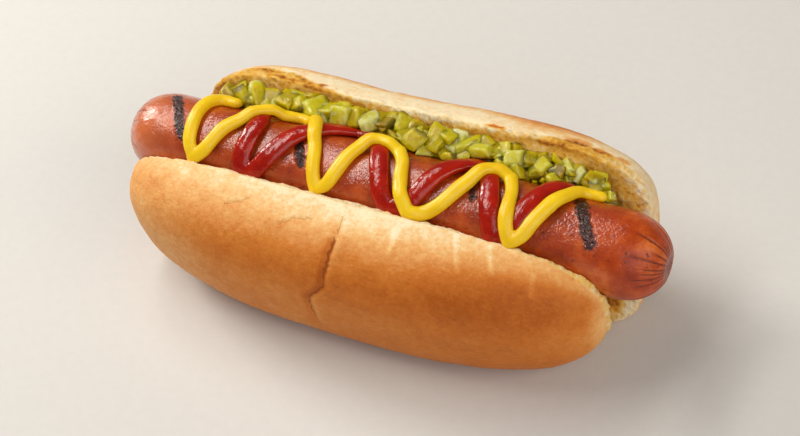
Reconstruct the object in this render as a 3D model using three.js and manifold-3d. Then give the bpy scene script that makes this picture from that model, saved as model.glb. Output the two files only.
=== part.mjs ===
// A hot dog: a split soft bun, a grilled sausage, sweet pickle relish, ketchup and mustard.
// Millimetres, +Z up. X runs along the sausage, -Y is the front half of the bun.
// The origin is on the table, under the middle of the hot dog.
import * as THREE from "three";
import { mergeVertices } from "three/addons/utils/BufferGeometryUtils.js";
import Module from "manifold-3d";

const { degToRad, lerp, smoothstep } = THREE.MathUtils;
const wasm = await Module();
wasm.setup();

// ---- Driving dimensions ----

// Touching pieces keep this clearance.
const GAP = 0.3;

// The sausage: its radius shrinks a little to the right, and its ends hang lower by the sag.
const SAUSAGE = {
  length: 168,
  leftRadius: 12.6,
  rightRadius: 12.2,
  domeLength: 13.4,
  domePower: 0.9,
  axisY: -0.8,
  axisZ: 38.4,
  sag: 0.6,
  wrinkleCount: 16,
  wrinkleDepth: 0.8,
  gatherFrom: 0.5,
  gatherTo: 1.2,
  dimpleFrom: 1.3,
  dimpleDepth: 1,
};

// The bun is cut lengthwise and opened round a hinge line on the table. Each half is a long
// cushion with a flat cut face: its height runs up the cut face, its thickness away from it.
// The lip is the rounded strip of soft crust between the rim and the cut face.
const HINGE = { y: -1.5, z: -0.6, faceOffset: 3.4 };
const SECTION_POWER = 2.44;
const FRONT_HALF = {
  side: -1,
  length: 149.5,
  middleX: -5,
  height: 50.5,
  thickness: 24,
  lean: 11.2,
  rimPower: 3.2,
  footPower: 3.2,
  thicknessPower: 2.75,
  bow: 2.7,
  rimDip: 0.6,
  lip: 3.4,
};
const BACK_HALF = {
  side: 1,
  length: 141,
  middleX: 3,
  height: 57.6,
  thickness: 25.5,
  lean: 16.9,
  rimPower: 4.6,
  footPower: 5.4,
  thicknessPower: 3.8,
  bow: 0,
  rimDip: 1.9,
  lip: 3.4,
};
const RIM_DIP = { middleX: -14, width: 36 };

// The bread that still joins the halves, under the sausage. Its sides are sunk in the halves.
const WEB = {
  middleX: -3,
  length: 131,
  halfWidth: 14,
  middleZ: 13,
  halfHeight: 17,
  endPower: 2.2,
  sidePower: 3,
};

// A tear down the front crust, as [x, angle from the middle of the crust towards the rim].
const TEAR = { width: 1.5, depth: 1.1, tipShare: 0.2 };
const TEAR_ROUTE = [
  [-3.1, 88], [-2.8, 72], [-3.3, 60], [-3.6, 48], [-4, 38], [-3.9, 30], [-6.1, 24],
  [-8.8, 17], [-8.9, 9], [-8.5, -4],
];

// The relish lies in the corner between the sausage and the back cut face. Its heap is a roll
// whose radius goes up and down in waves, and dice of pickle stick out of it.
const RELISH = { left: -61, right: 64, faceHeight: 45.6, endDrop: 3.6, radius: 7.3, endPower: 3 };
const RELISH_WAVES = [{ length: 26, height: 0.4 }, { length: 45, height: 0.4 }];
const DICE = { seed: 11, count: 50, smallest: 4.2, largest: 6.6, sunk: 1.4, stray: 1, keptShare: 0.25 };
const DICE_ANGLES = { top: 0, bottom: 95, rows: 4 };
const DICE_TRIES = 10;
const TRY_SHRINK = 0.94;

// Squeezed lines of sauce. A leg is a list of [x, angle round the sausage from its top to the
// front], and the legs of one line join where it turns. A later line climbs over an earlier one.
const CLIMB = { height: 1.7, flatTop: 2.4, reach: 6.5 };
const KETCHUP = { width: 5.7, height: 2.8 };
const KETCHUP_LEGS = [
  [[-41, -20], [-40.2, -6], [-40.3, 10], [-40.7, 32], [-40.8, 50], [-40, 64]],
  [[-40, 64], [-36.8, 60], [-34.4, 48], [-31.9, 31], [-29.4, 14], [-27, -1], [-24.2, -12], [-20.4, -28],
    [-14, -46]],
  [[-14, -46], [-8, -45], [-4.7, -32], [-2, -9], [-0.4, 8], [1.3, 24], [3, 42], [6, 60]],
  [[6, 60], [9.6, 57], [11.9, 48], [13.8, 34], [15.4, 19], [17, 5], [18.8, -8], [20.8, -19], [23, -30],
    [25.4, -42]],
  [[25.4, -42], [28.6, -34], [31.2, -12], [32.9, 7], [34.4, 24], [35.6, 40], [37.5, 61]],
  [[37.5, 61], [40.6, 57], [42.3, 46], [43.6, 31], [44.9, 15], [46, 0], [47.2, -15], [48.7, -31],
    [50.8, -44]],
];
const MUSTARD = { width: 4, height: 3 };
const MUSTARD_LEGS = [
  [[-52.2, -36], [-54.6, -36], [-57.2, -31], [-58.9, -17], [-59.3, 2], [-59, 22], [-58.2, 42], [-56, 60]],
  [[-56, 60], [-53, 48], [-51, 33], [-49.3, 18], [-47.3, 7], [-45, -3], [-43.1, -11.5], [-41.2, -18.5],
    [-38.9, -24.5], [-36.4, -32], [-33.6, -39], [-30.6, -42], [-27.6, -38.5], [-24.1, -24]],
  [[-24.1, -24], [-22, -5], [-19.7, 16], [-18.1, 40], [-16.2, 60]],
  [[-16.2, 60], [-13.4, 52], [-11.4, 35], [-9.9, 16], [-8.3, -2], [-6, -15], [-3, -19.5], [0.4, -18],
    [3.4, -15]],
  [[3.4, -15], [6, 0], [7.7, 22], [9.2, 37], [12.8, 56]],
  [[12.8, 56], [16.4, 55.5], [19.4, 47], [21.7, 36], [23.6, 24], [25.5, 10], [27.4, -4], [29.6, -16],
    [33, -21], [36.6, -19]],
  [[36.6, -19], [38.8, 0], [39.9, 20], [41, 42], [43, 59]],
  [[43, 59], [46, 49], [47.8, 34], [49.6, 18], [51.3, 1], [53.2, -14], [55.4, -31], [58, -38], [61, -39.5]],
];

// Mesh fineness.
const BREAD_BANDS = 24;
const CRUST_STEPS = 14;
const FACE_STEPS = 4;
const WEB_SIDES = 12;
const BLUNTNESS = 0.9995;
const SAUSAGE_SIDES = 2 * SAUSAGE.wrinkleCount;
const DOME_BANDS = 7;
const BARREL_BANDS = 10;
const TIP_ROUNDNESS = 0.05;
const TEAR_SIDES = 4;
const RELISH_BANDS = 24;
const RELISH_SIDES = 10;
const LINE_SIDES = 7;
const LINE_STEP = 3.4;
const CAP_TURNS = [0.6, 1.2];

// ---- Geometry helpers ----

const signedPower = (value, power) => Math.sign(value) * Math.abs(value) ** power;
const squircle = (u, power) => Math.max(0, 1 - Math.abs(u) ** power) ** (1 / power);
const steps = (count) => Array.from({ length: count + 1 }, (_, i) => i / count);
const turns = (count) => steps(count).slice(1).map((step) => 2 * Math.PI * step);
const joined = (bodies) => bodies.reduce((whole, body) => whole.add(body));
const trimmed = (body, cutters) => cutters.reduce((rest, cutter) => rest.subtract(cutter), body);

// Stations from end to end of a long body, close together where its ends curve.
const endToEnd = (count) => steps(count).map((step) => -BLUNTNESS * Math.cos(Math.PI * step));

// The average of a ring of points.
function middleOf(ring) {
  const sum = ring.reduce((total, point) => total.add(point), new THREE.Vector3());
  return sum.divideScalar(ring.length);
}

// A closed body through rings of points that all turn the same way round their direction of travel.
function loft(rings) {
  const sides = rings[0].length;
  const points = [...rings.flat(), middleOf(rings[0]), middleOf(rings.at(-1))];
  const startPole = points.length - 2;
  const endPole = points.length - 1;
  const lastRing = (rings.length - 1) * sides;
  const faces = [];
  for (let i = 0; i < sides; i += 1) {
    const next = (i + 1) % sides;
    faces.push(startPole, next, i, endPole, lastRing + i, lastRing + next);
    for (let row = 0; row < lastRing; row += sides) {
      faces.push(row + i, row + next, row + sides + i);
      faces.push(row + next, row + sides + next, row + sides + i);
    }
  }
  const geometry = new THREE.BufferGeometry().setFromPoints(points);
  return geometry.setIndex(faces);
}

// The closed solid inside a geometry, for joining and cutting.
function solid(geometry) {
  const bare = geometry.clone();
  bare.deleteAttribute("normal");
  bare.deleteAttribute("uv");
  const merged = mergeVertices(bare);
  const vertProperties = new Float32Array(merged.attributes.position.array);
  const triVerts = new Uint32Array(merged.index.array);
  return new wasm.Manifold(new wasm.Mesh({ numProp: 3, vertProperties, triVerts }));
}

// A solid as a geometry with shared corners.
function surfaceOf(body) {
  const { vertProperties, triVerts } = body.getMesh();
  const geometry = new THREE.BufferGeometry();
  geometry.setAttribute("position", new THREE.BufferAttribute(new Float32Array(vertProperties), 3));
  geometry.setIndex(new THREE.BufferAttribute(new Uint32Array(triVerts), 1));
  return geometry;
}

// The solid with its surface moved out, so that what it cuts keeps that clearance.
function swollen(body, amount = GAP) {
  const geometry = surfaceOf(body);
  geometry.computeVertexNormals();
  const { position, normal } = geometry.attributes;
  for (let i = 0; i < position.count; i += 1) {
    const x = position.getX(i) + normal.getX(i) * amount;
    const y = position.getY(i) + normal.getY(i) * amount;
    const z = position.getZ(i) + normal.getZ(i) * amount;
    position.setXYZ(i, x, y, z);
  }
  return solid(geometry);
}

// The stations of a rope with both of its ends rounded off.
function roundEnds(stations) {
  const cap = (tip, inner) => CAP_TURNS.map((turn) => {
    const onward = tip.point.clone().sub(inner.point).setLength(tip.halfWidth * Math.sin(turn));
    const narrowing = Math.cos(turn);
    return {
      point: onward.add(tip.point),
      up: tip.up,
      halfWidth: tip.halfWidth * narrowing,
      halfHeight: tip.halfHeight * narrowing,
    };
  });
  const start = cap(stations[0], stations[1]).reverse();
  return [...start, ...stations, ...cap(stations.at(-1), stations.at(-2))];
}

// A closed rope: each station has its point, the way up from there and two half sizes.
function rope(stations, sides) {
  const last = stations.length - 1;
  const rings = stations.map(({ point, up, halfWidth, halfHeight }, i) => {
    const before = stations[Math.max(i - 1, 0)].point;
    const after = stations[Math.min(i + 1, last)].point;
    const along = after.clone().sub(before).normalize();
    const across = up.clone().cross(along).normalize().multiplyScalar(halfWidth);
    const rise = along.cross(across).normalize().multiplyScalar(halfHeight);
    return turns(sides).map((turn) => point.clone()
      .addScaledVector(across, Math.cos(turn))
      .addScaledVector(rise, Math.sin(turn)));
  });
  return solid(loft(rings));
}

// The largest piece of a solid, without scraps that a cut has left.
function largestPiece(body) {
  return body.decompose().reduce((best, piece) => (piece.volume() > best.volume() ? piece : best));
}

function cutBack(body, cutters) {
  return largestPiece(trimmed(body, cutters));
}

// ---- Sausage ----

// The middle of the sausage at x.
function sausageAxis(x) {
  const reach = (2 * x) / SAUSAGE.length;
  return new THREE.Vector3(x, SAUSAGE.axisY, SAUSAGE.axisZ - SAUSAGE.sag * reach * reach);
}

// The way out of the sausage. The angle turns from the top towards the front.
function sausageOutward(angle) {
  return new THREE.Vector3(0, -Math.sin(angle), Math.cos(angle));
}

// A point near the sausage: the lift is its height over the skin.
function besideSausage(x, angle, lift) {
  const along = x / SAUSAGE.length + 0.5;
  const radius = lerp(SAUSAGE.leftRadius, SAUSAGE.rightRadius, along) + lift;
  return sausageAxis(x).addScaledVector(sausageOutward(angle), radius);
}

// The sausage, from pole to pole. The skin is gathered into wrinkles round a dimple at each end.
function makeSausage() {
  const straight = SAUSAGE.length / 2 - SAUSAGE.domeLength;
  const domeTurns = steps(DOME_BANDS).slice(1).map((step) => (step * Math.PI) / 2);
  const dome = domeTurns.map((turn) => ({ x: straight + SAUSAGE.domeLength * Math.sin(turn), turn }));
  const barrel = steps(BARREL_BANDS).map((step) => ({ x: lerp(-straight, straight, step), turn: 0 }));
  const mirrored = dome.map(({ x, turn }) => ({ x: -x, turn })).reverse();
  const rings = [...mirrored, ...barrel, ...dome].map(({ x, turn }) => {
    const roundness = Math.max(Math.cos(turn), TIP_ROUNDNESS) ** SAUSAGE.domePower;
    const gathered = smoothstep(turn, SAUSAGE.gatherFrom, SAUSAGE.gatherTo);
    const dimple = Math.sign(x) * SAUSAGE.dimpleDepth * smoothstep(turn, SAUSAGE.dimpleFrom, Math.PI / 2);
    return turns(SAUSAGE_SIDES).map((angle) => {
      const groove = (gathered * SAUSAGE.wrinkleDepth * (1 + Math.cos(SAUSAGE.wrinkleCount * angle))) / 2;
      const point = besideSausage(x, angle, -groove).lerp(sausageAxis(x), 1 - roundness);
      return point.setX(x - dimple);
    });
  });
  return solid(loft(rings));
}

// ---- Bun ----

// A point of a half: up its cut face, and out from that face towards the crust.
function inHalf(half, x, up, out) {
  const lean = degToRad(half.lean);
  const y = half.side * (HINGE.faceOffset + up * Math.sin(lean) + out * Math.cos(lean));
  return new THREE.Vector3(x, HINGE.y + y, HINGE.z + up * Math.cos(lean) - out * Math.sin(lean));
}

// The sizes of a half's cross-section at u, which runs from -1 to 1 along it.
function sectionOf(half, u) {
  const x = half.middleX + (half.length / 2) * u;
  const dip = half.rimDip * Math.exp(-(((x - RIM_DIP.middleX) / RIM_DIP.width) ** 2));
  return {
    x,
    toRim: (half.height / 2) * squircle(u, half.rimPower) - dip * (1 - u ** 4),
    toFoot: (half.height / 2) * squircle(u, half.footPower),
    depth: half.thickness * squircle(u, half.thicknessPower),
    bow: half.bow * (1 - u * u),
  };
}

// A point of the crust. The angle runs from the foot, over the middle of the crust, to the rim.
function onCrust(half, u, angle, raise = 0) {
  const { x, toRim, toFoot, depth, bow } = sectionOf(half, u);
  const reach = angle > 0 ? toRim : toFoot;
  const up = half.height / 2 + reach * signedPower(Math.sin(angle), 2 / SECTION_POWER);
  const out = bow + depth * signedPower(Math.cos(angle), 2 / SECTION_POWER);
  return inHalf(half, x, up + raise * Math.sin(angle), out + raise * Math.cos(angle));
}

// One half of the bun: each ring goes over the crust and back down the cut face.
function breadHalf(half) {
  const rings = endToEnd(BREAD_BANDS).map((u) => {
    const { x, toRim, toFoot } = sectionOf(half, u);
    const crust = steps(CRUST_STEPS).map((step) => onCrust(half, u, (step - 0.5) * Math.PI));
    const faceTop = toRim * (1 - (2 * half.lip) / half.height);
    const faceHeights = steps(FACE_STEPS).slice(0, -1).map((step) => lerp(faceTop, -toFoot, step));
    const face = faceHeights.map((height) => inHalf(half, x, half.height / 2 + height, 0));
    const ring = [...crust, ...face];
    return half.side < 0 ? ring.reverse() : ring;
  });
  return solid(loft(rings));
}

// The joining bread between the halves: a long block that thins out at both ends.
function breadWeb() {
  const rings = endToEnd(BREAD_BANDS).map((u) => {
    const size = squircle(u, WEB.endPower);
    return turns(WEB_SIDES).map((turn) => {
      const across = WEB.halfWidth * signedPower(Math.cos(turn), 2 / WEB.sidePower);
      const rise = WEB.halfHeight * size * signedPower(Math.sin(turn), 2 / WEB.sidePower);
      return new THREE.Vector3(WEB.middleX + (WEB.length / 2) * u, HINGE.y + across, WEB.middleZ + rise);
    });
  });
  return solid(loft(rings));
}

// The cutter for the tear: a narrow rope half sunk in the crust.
function tearCutter() {
  const stations = TEAR_ROUTE.map(([x, degrees], i) => {
    const u = (2 * (x - FRONT_HALF.middleX)) / FRONT_HALF.length;
    const point = onCrust(FRONT_HALF, u, degToRad(degrees));
    const up = onCrust(FRONT_HALF, u, degToRad(degrees), 1).sub(point);
    const open = i === 0 || i === TEAR_ROUTE.length - 1 ? TEAR.tipShare : 1;
    return { point, up, halfWidth: (open * TEAR.width) / 2, halfHeight: open * TEAR.depth };
  });
  return rope(stations, TEAR_SIDES);
}

// What lies below the table, so that the bun rests on a flat foot.
function belowTable() {
  const size = 2 * SAUSAGE.length;
  return solid(new THREE.BoxGeometry(size, size, size).translate(0, 0, -size / 2));
}

function makeBun(sausage) {
  const bread = joined([breadHalf(FRONT_HALF), breadHalf(BACK_HALF), breadWeb()]);
  return cutBack(bread, [swollen(sausage), belowTable(), tearCutter()]);
}

// ---- Relish ----

// A point of the heap: its turn runs from the top of the heap towards the sausage.
function inRelish(x, radius, turn) {
  const reach = (2 * x - RELISH.left - RELISH.right) / (RELISH.right - RELISH.left);
  const middle = RELISH.faceHeight - RELISH.endDrop * reach ** 6;
  return inHalf(BACK_HALF, x, middle + radius * Math.cos(turn), -radius * Math.sin(turn));
}

// The bare heap of relish, an uneven roll that its neighbours press into shape.
function relishCore() {
  const length = RELISH.right - RELISH.left;
  const rings = endToEnd(RELISH_BANDS).map((u) => {
    const x = (RELISH.left + RELISH.right + u * length) / 2;
    const waves = RELISH_WAVES.map((wave) => wave.height * Math.sin((2 * Math.PI * x) / wave.length));
    const radius = waves.reduce((sum, wave) => sum + wave, RELISH.radius) * squircle(u, RELISH.endPower);
    return turns(RELISH_SIDES).map((turn) => inRelish(x, radius, turn));
  });
  return solid(loft(rings));
}

// A repeatable random number from 0 to 1.
function seededRandom(seed) {
  let state = seed;
  return () => {
    state = (state * 1664525 + 1013904223) % 4294967296;
    return state / 4294967296;
  };
}

// A die of pickle somewhere on the heap at x, in the given row of the heap.
function pickleDie(random, x, row, scale) {
  const drop = (row + random()) / DICE_ANGLES.rows;
  const turn = degToRad(lerp(DICE_ANGLES.top, DICE_ANGLES.bottom, drop));
  const middle = inRelish(x, RELISH.radius - DICE.sunk * random(), turn);
  const size = [0, 0, 0].map(() => scale * lerp(DICE.smallest, DICE.largest, random()));
  const pose = new THREE.Euler(...[0, 0, 0].map(() => Math.PI * random()));
  const placed = new THREE.Matrix4().makeRotationFromEuler(pose).setPosition(middle);
  return solid(new THREE.BoxGeometry(...size).applyMatrix4(placed));
}

// The dice that show. Each is cut where it meets the bread or the sausage, and left out if
// little remains. One that would cross a line of sauce is moved and made a little smaller.
function pickleDice(firm, sauces) {
  const random = seededRandom(DICE.seed);
  const isClear = (die) => sauces.every((sauce) => die.intersect(sauce).isEmpty());
  const first = RELISH.left + DICE.largest / 2;
  const last = RELISH.right - DICE.largest / 2;
  const placed = steps(DICE.count - 1).map((step, i) => {
    const tries = Array.from({ length: DICE_TRIES }, (_, move) => {
      const x = lerp(first, last, step) + DICE.stray * (2 * random() - 1);
      return pickleDie(random, x, (i + move) % DICE_ANGLES.rows, TRY_SHRINK ** move);
    });
    return tries.find(isClear);
  });
  const shaped = placed.filter((die) => die).map((die) => trimmed(die, firm));
  return shaped.filter((die) => die.volume() > DICE.keptShare * DICE.smallest ** 3);
}

// ---- Sauces ----

// The middle line of a leg, evenly spaced. The skin is unrolled to a flat sheet for the spline.
function legPoints(leg) {
  const radius = (SAUSAGE.leftRadius + SAUSAGE.rightRadius) / 2;
  const flat = leg.map(([x, degrees]) => new THREE.Vector2(x, radius * degToRad(degrees)));
  const curve = new THREE.SplineCurve(flat);
  const count = Math.ceil(curve.getLength() / LINE_STEP);
  return curve.getSpacedPoints(count).map(({ x, y }) => ({ x, angle: y / radius }));
}

// A squeezed line along its legs, raised where it is near the middle of a line that it crosses.
function sauceLine(sauce, legs, crossed = []) {
  const halfWidth = sauce.width / 2;
  const halfHeight = sauce.height / 2;
  const stationAt = ({ x, angle }) => {
    const low = besideSausage(x, angle, GAP + halfHeight);
    const nearest = Math.min(...crossed.map((point) => point.distanceTo(low)));
    const climb = CLIMB.height * (1 - smoothstep(nearest, CLIMB.flatTop, CLIMB.reach));
    const point = besideSausage(x, angle, GAP + halfHeight + climb);
    return { point, up: sausageOutward(angle), halfWidth, halfHeight };
  };
  const routes = legs.map((leg) => legPoints(leg).map(stationAt));
  const body = joined(routes.map((route) => rope(roundEnds(route), LINE_SIDES)));
  return { body, middle: routes.flat().map(({ point }) => point) };
}

// ---- Assembly ----

const sausage = makeSausage();
const bun = makeBun(sausage);
const roundBun = swollen(bun);
const firm = [roundBun, swollen(sausage)];

const core = cutBack(relishCore(), firm);
const ketchupLine = sauceLine(KETCHUP, KETCHUP_LEGS);
const ketchup = cutBack(ketchupLine.body, [roundBun, swollen(core)]);
const mustardLine = sauceLine(MUSTARD, MUSTARD_LEGS, ketchupLine.middle);
const mustard = cutBack(mustardLine.body, [roundBun, swollen(core), swollen(ketchup)]);
const dice = pickleDice(firm, [swollen(ketchup), swollen(mustard)]);
const relish = largestPiece(joined([core, ...dice]));

const hotDog = new THREE.Group();

function addPiece(name, body, color, roughness) {
  const material = new THREE.MeshStandardMaterial({ color, roughness, metalness: 0 });
  const geometry = surfaceOf(body);
  geometry.computeVertexNormals();
  const mesh = new THREE.Mesh(geometry, material);
  mesh.name = name;
  hotDog.add(mesh);
}

addPiece("bun", bun, 0xd99a52, 0.75);
addPiece("sausage", sausage, 0xa8492f, 0.35);
addPiece("relish", relish, 0xa6a02c, 0.25);
addPiece("ketchup", ketchup, 0xa31414, 0.2);
addPiece("mustard", mustard, 0xe8be1c, 0.3);

export default hotDog;
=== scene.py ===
import functools
import itertools
from math import ceil, cos, pi, radians, sin
from types import SimpleNamespace as Sizes

import bpy
import numpy as np
from mathutils import Matrix, Vector


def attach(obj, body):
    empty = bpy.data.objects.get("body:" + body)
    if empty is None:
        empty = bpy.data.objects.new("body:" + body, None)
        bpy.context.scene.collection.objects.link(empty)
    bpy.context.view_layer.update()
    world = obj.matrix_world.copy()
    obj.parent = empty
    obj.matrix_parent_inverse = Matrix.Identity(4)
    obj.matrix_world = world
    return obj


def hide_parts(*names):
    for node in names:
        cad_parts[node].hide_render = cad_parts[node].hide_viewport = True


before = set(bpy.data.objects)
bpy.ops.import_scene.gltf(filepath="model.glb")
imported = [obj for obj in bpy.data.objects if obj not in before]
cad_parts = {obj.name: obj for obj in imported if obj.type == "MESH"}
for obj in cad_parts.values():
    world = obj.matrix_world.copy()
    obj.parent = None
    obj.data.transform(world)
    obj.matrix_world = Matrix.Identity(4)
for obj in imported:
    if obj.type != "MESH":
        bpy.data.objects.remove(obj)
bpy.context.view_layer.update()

# A hot dog: a split soft bun, a grilled sausage, pickle relish, ketchup and mustard.
# Shapes are worked out in millimetres in the frame of the part, and become metres in piece().
MM = 0.001

# ---- Driving dimensions, as in the part ----

SAUSAGE = Sizes(
    length=168, left_radius=12.6, right_radius=12.2, dome_length=13.4, dome_power=0.9,
    axis_y=-0.8, axis_z=38.4, sag=0.6, dimple_from=1.2, dimple_depth=1.0,
)
HINGE = Sizes(y=-1.5, z=-0.6, face_offset=3.4)
SECTION_POWER = 2.44
FRONT_HALF = Sizes(
    side=-1, length=149.5, middle_x=-5, height=50.5, thickness=24, lean=radians(11.2),
    rim_power=3.2, foot_power=3.2, thickness_power=2.75, bow=2.7, rim_dip=0.6, lip=3.4,
)
BACK_HALF = Sizes(
    side=1, length=141, middle_x=3, height=57.6, thickness=25.5, lean=radians(16.9),
    rim_power=4.6, foot_power=5.4, thickness_power=3.8, bow=0, rim_dip=1.9, lip=1.6,
)
RIM_DIP = Sizes(middle_x=-14, width=36)
WEB = Sizes(
    middle_x=-3, length=131, half_width=14, middle_z=13, half_height=17, end_power=2.2, side_power=3,
)

# The tear down the front crust, the finer cracks beside it and the pale stretched lines: x, and the
# angle from the middle of the crust towards the rim in degrees.
TEAR_ROUTE = [
    (-3.1, 88), (-2.8, 72), (-3.3, 60), (-3.6, 48), (-4, 38), (-3.9, 30), (-6.1, 24),
    (-8.8, 17), (-8.9, 9), (-8.5, -4),
]
# Half the width of the tear's gap at some of these angles, and how far to its sides it is drawn.
TEAR_WIDTHS = [
    (-8, 0.1), (4, 0.32), (17, 0.42), (28, 0.4), (34, 0.3), (42, 0.6), (60, 0.75), (67, 0.4),
    (70, 0.1), (74, 0.24), (82, 0.2), (87, 0.05), (90, 0),
]
TEAR = Sizes(lowest_angle=-8, reach=4, usual_width=0.45)
CRACK = Sizes(half_width=0.17, reach=3)
CRACK_ROUTES = [
    [(-39.5, 69), (-35.5, 73), (-31.8, 79)],
    [(-21.1, 67), (-18.4, 71), (-17.4, 74), (-11, 77)],
    [(-36.5, 56), (-36.2, 52), (-35.9, 47)],
    [(-55.8, 84), (-56.5, 81), (-56.3, 77)],
]
STRETCH_ROUTES = [
    [(29.6, 88), (31, 80), (33.4, 66)],
    [(39.2, 88), (40.6, 80), (42.4, 70)],
    [(12.8, 84), (13.4, 76), (13.2, 68)],
    [(52.4, 78), (53, 68), (53.4, 58)],
]

# The relish heap in the corner between the sausage and the back cut face.
RELISH = Sizes(left=-61, right=64, face_height=45.6, end_drop=3.6, radius=7.3, end_power=3)

# Squeezed lines: legs of x and the angle round the sausage from its top to the front, in degrees.
KETCHUP = Sizes(width=5.7, height=2.8)
KETCHUP_LEGS = [
    [(-41, -20), (-40.2, -6), (-40.3, 10), (-40.7, 32), (-40.8, 50), (-40, 64)],
    [(-40, 64), (-36.8, 60), (-34.4, 48), (-31.9, 31), (-29.4, 14), (-27, -1), (-24.2, -12), (-20.4, -28),
     (-14, -46)],
    [(-14, -46), (-8, -45), (-4.7, -32), (-2, -9), (-0.4, 8), (1.3, 24), (3, 42), (6, 60)],
    [(6, 60), (9.6, 57), (11.9, 48), (13.8, 34), (15.4, 19), (17, 5), (18.8, -8), (20.8, -19), (23, -30),
     (25.4, -42)],
    [(25.4, -42), (28.6, -34), (31.2, -12), (32.9, 7), (34.4, 24), (35.6, 40), (37.5, 61)],
    [(37.5, 61), (40.6, 57), (42.3, 46), (43.6, 31), (44.9, 15), (46, 0), (47.2, -15), (48.7, -31),
     (50.8, -44)],
]
MUSTARD = Sizes(width=4, height=3)
MUSTARD_LEGS = [
    [(-52.2, -36), (-54.6, -36), (-57.2, -31), (-58.9, -17), (-59.3, 2), (-59, 22), (-58.2, 42), (-56, 60)],
    [(-56, 60), (-53, 48), (-51, 33), (-49.3, 18), (-47.3, 7), (-45, -3), (-43.1, -11.5), (-41.2, -18.5),
     (-38.9, -24.5), (-36.4, -32), (-33.6, -39), (-30.6, -42), (-27.6, -38.5), (-24.1, -24)],
    [(-24.1, -24), (-22, -5), (-19.7, 16), (-18.1, 40), (-16.2, 60)],
    [(-16.2, 60), (-13.4, 52), (-11.4, 35), (-9.9, 16), (-8.3, -2), (-6, -15), (-3, -19.5), (0.4, -18),
     (3.4, -15)],
    [(3.4, -15), (6, 0), (7.7, 22), (9.2, 37), (12.8, 56)],
    [(12.8, 56), (16.4, 55.5), (19.4, 47), (21.7, 36), (23.6, 24), (25.5, 10), (27.4, -4), (29.6, -16),
     (33, -21), (36.6, -19)],
    [(36.6, -19), (38.8, 0), (39.9, 20), (41, 42), (43, 59)],
    [(43, 59), (46, 49), (47.8, 34), (49.6, 18), (51.3, 1), (53.2, -14), (55.4, -31), (58, -38), (61, -39.5)],
]
CLIMB = Sizes(height=1.7, flat_top=2.4, reach=6.5)


# ---- Numbers and noise ----

def eased(low, high, value):
    """0 before low and 1 after high, along the curve 3t^2 - 2t^3 between them."""
    share = np.clip((value - low) / (high - low), 0, 1)
    return share * share * (3 - 2 * share)


def signed_power(value, power):
    """The power of the size of a value, with the value's sign."""
    return np.sign(value) * np.abs(value) ** power


def squircle(u, power):
    """The height over u of a superellipse with both half axes 1."""
    return np.maximum(0, 1 - np.abs(u) ** power) ** (1 / power)


def bump(distance, width):
    """A bell that is 1 at distance 0 and falls by e at one width."""
    return np.exp(-((distance / width) ** 2))


def unit(vectors):
    """Vectors made 1 long."""
    return vectors / np.maximum(np.linalg.norm(vectors, axis=-1, keepdims=True), 1e-9)


def full_turn(steps):
    """The angles of one turn, in even steps."""
    return np.arange(steps) * 2 * np.pi / steps


def end_to_end(steps, short=1e-5):
    """Places from -1 to 1, closer together towards the ends and a little short of them."""
    return (short - 1) * np.cos(np.pi * np.linspace(0, 1, steps + 1))


def points_at(x, y, z):
    """Points from three coordinates, each a number or an array."""
    return np.stack(np.broadcast_arrays(x, y, z), axis=-1)


def laid_flat(route, radius):
    """A route of x and degrees with its degrees as millimetres along an arc of the radius."""
    return [(x, radius * radians(degrees)) for x, degrees in route]


def lumps(points, size, seed):
    """Smooth noise from about -1 to 1, with lumps about one size across.

    Each corner of a cubic lattice holds a random direction. A point mixes the products of its
    eight corners' directions with the ways to them, by the fade curve 6t^5 - 15t^4 + 10t^3.
    """
    rng = np.random.default_rng(seed)
    shuffled = rng.permutation(256)
    arrows = unit(rng.normal(size=(256, 3)))
    place = points / size
    cell = np.floor(place).astype(int)
    within = place - cell
    fade = within ** 3 * (within * (within * 6 - 15) + 10)
    total = np.zeros(points.shape[:-1])
    for corner in itertools.product((0, 1), repeat=3):
        key = (cell + corner) & 255
        chosen = shuffled[(shuffled[(shuffled[key[..., 0]] + key[..., 1]) & 255] + key[..., 2]) & 255]
        slope = ((within - corner) * arrows[chosen]).sum(-1)
        total += slope * np.prod(np.where(corner, fade, 1 - fade), axis=-1)
    return 1.6 * total


def distance_to_path(points, path):
    """The distance of flat points to the nearest segment of a path."""
    path = np.asarray(path, float)
    start, along = path[:-1], np.diff(path, axis=0)
    offset = points[:, None] - start
    share = np.clip((offset * along).sum(-1) / (along ** 2).sum(-1), 0, 1)
    return np.linalg.norm(offset - share[..., None] * along, axis=-1).min(-1)


def smooth_route(corners, spacing):
    """A Catmull-Rom curve through the corners, cut into even steps of about one spacing."""
    corners = np.asarray(corners, float)
    padded = np.concatenate([corners[:1], corners, corners[-1:]])
    t = np.linspace(0, 1, 24, endpoint=False)[:, None]
    spans = [
        (2 * b + (c - a) * t + (2 * a - 5 * b + 4 * c - d) * t ** 2 + (3 * b - a - 3 * c + d) * t ** 3) / 2
        for a, b, c, d in zip(padded, padded[1:], padded[2:], padded[3:])
    ]
    dense = np.concatenate([*spans, corners[-1:]])
    length = np.concatenate([[0], np.cumsum(np.linalg.norm(np.diff(dense, axis=0), axis=1))])
    even = np.linspace(0, length[-1], ceil(length[-1] / spacing) + 1)
    return np.column_stack([np.interp(even, length, column) for column in dense.T])


# ---- Meshes ----

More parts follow.
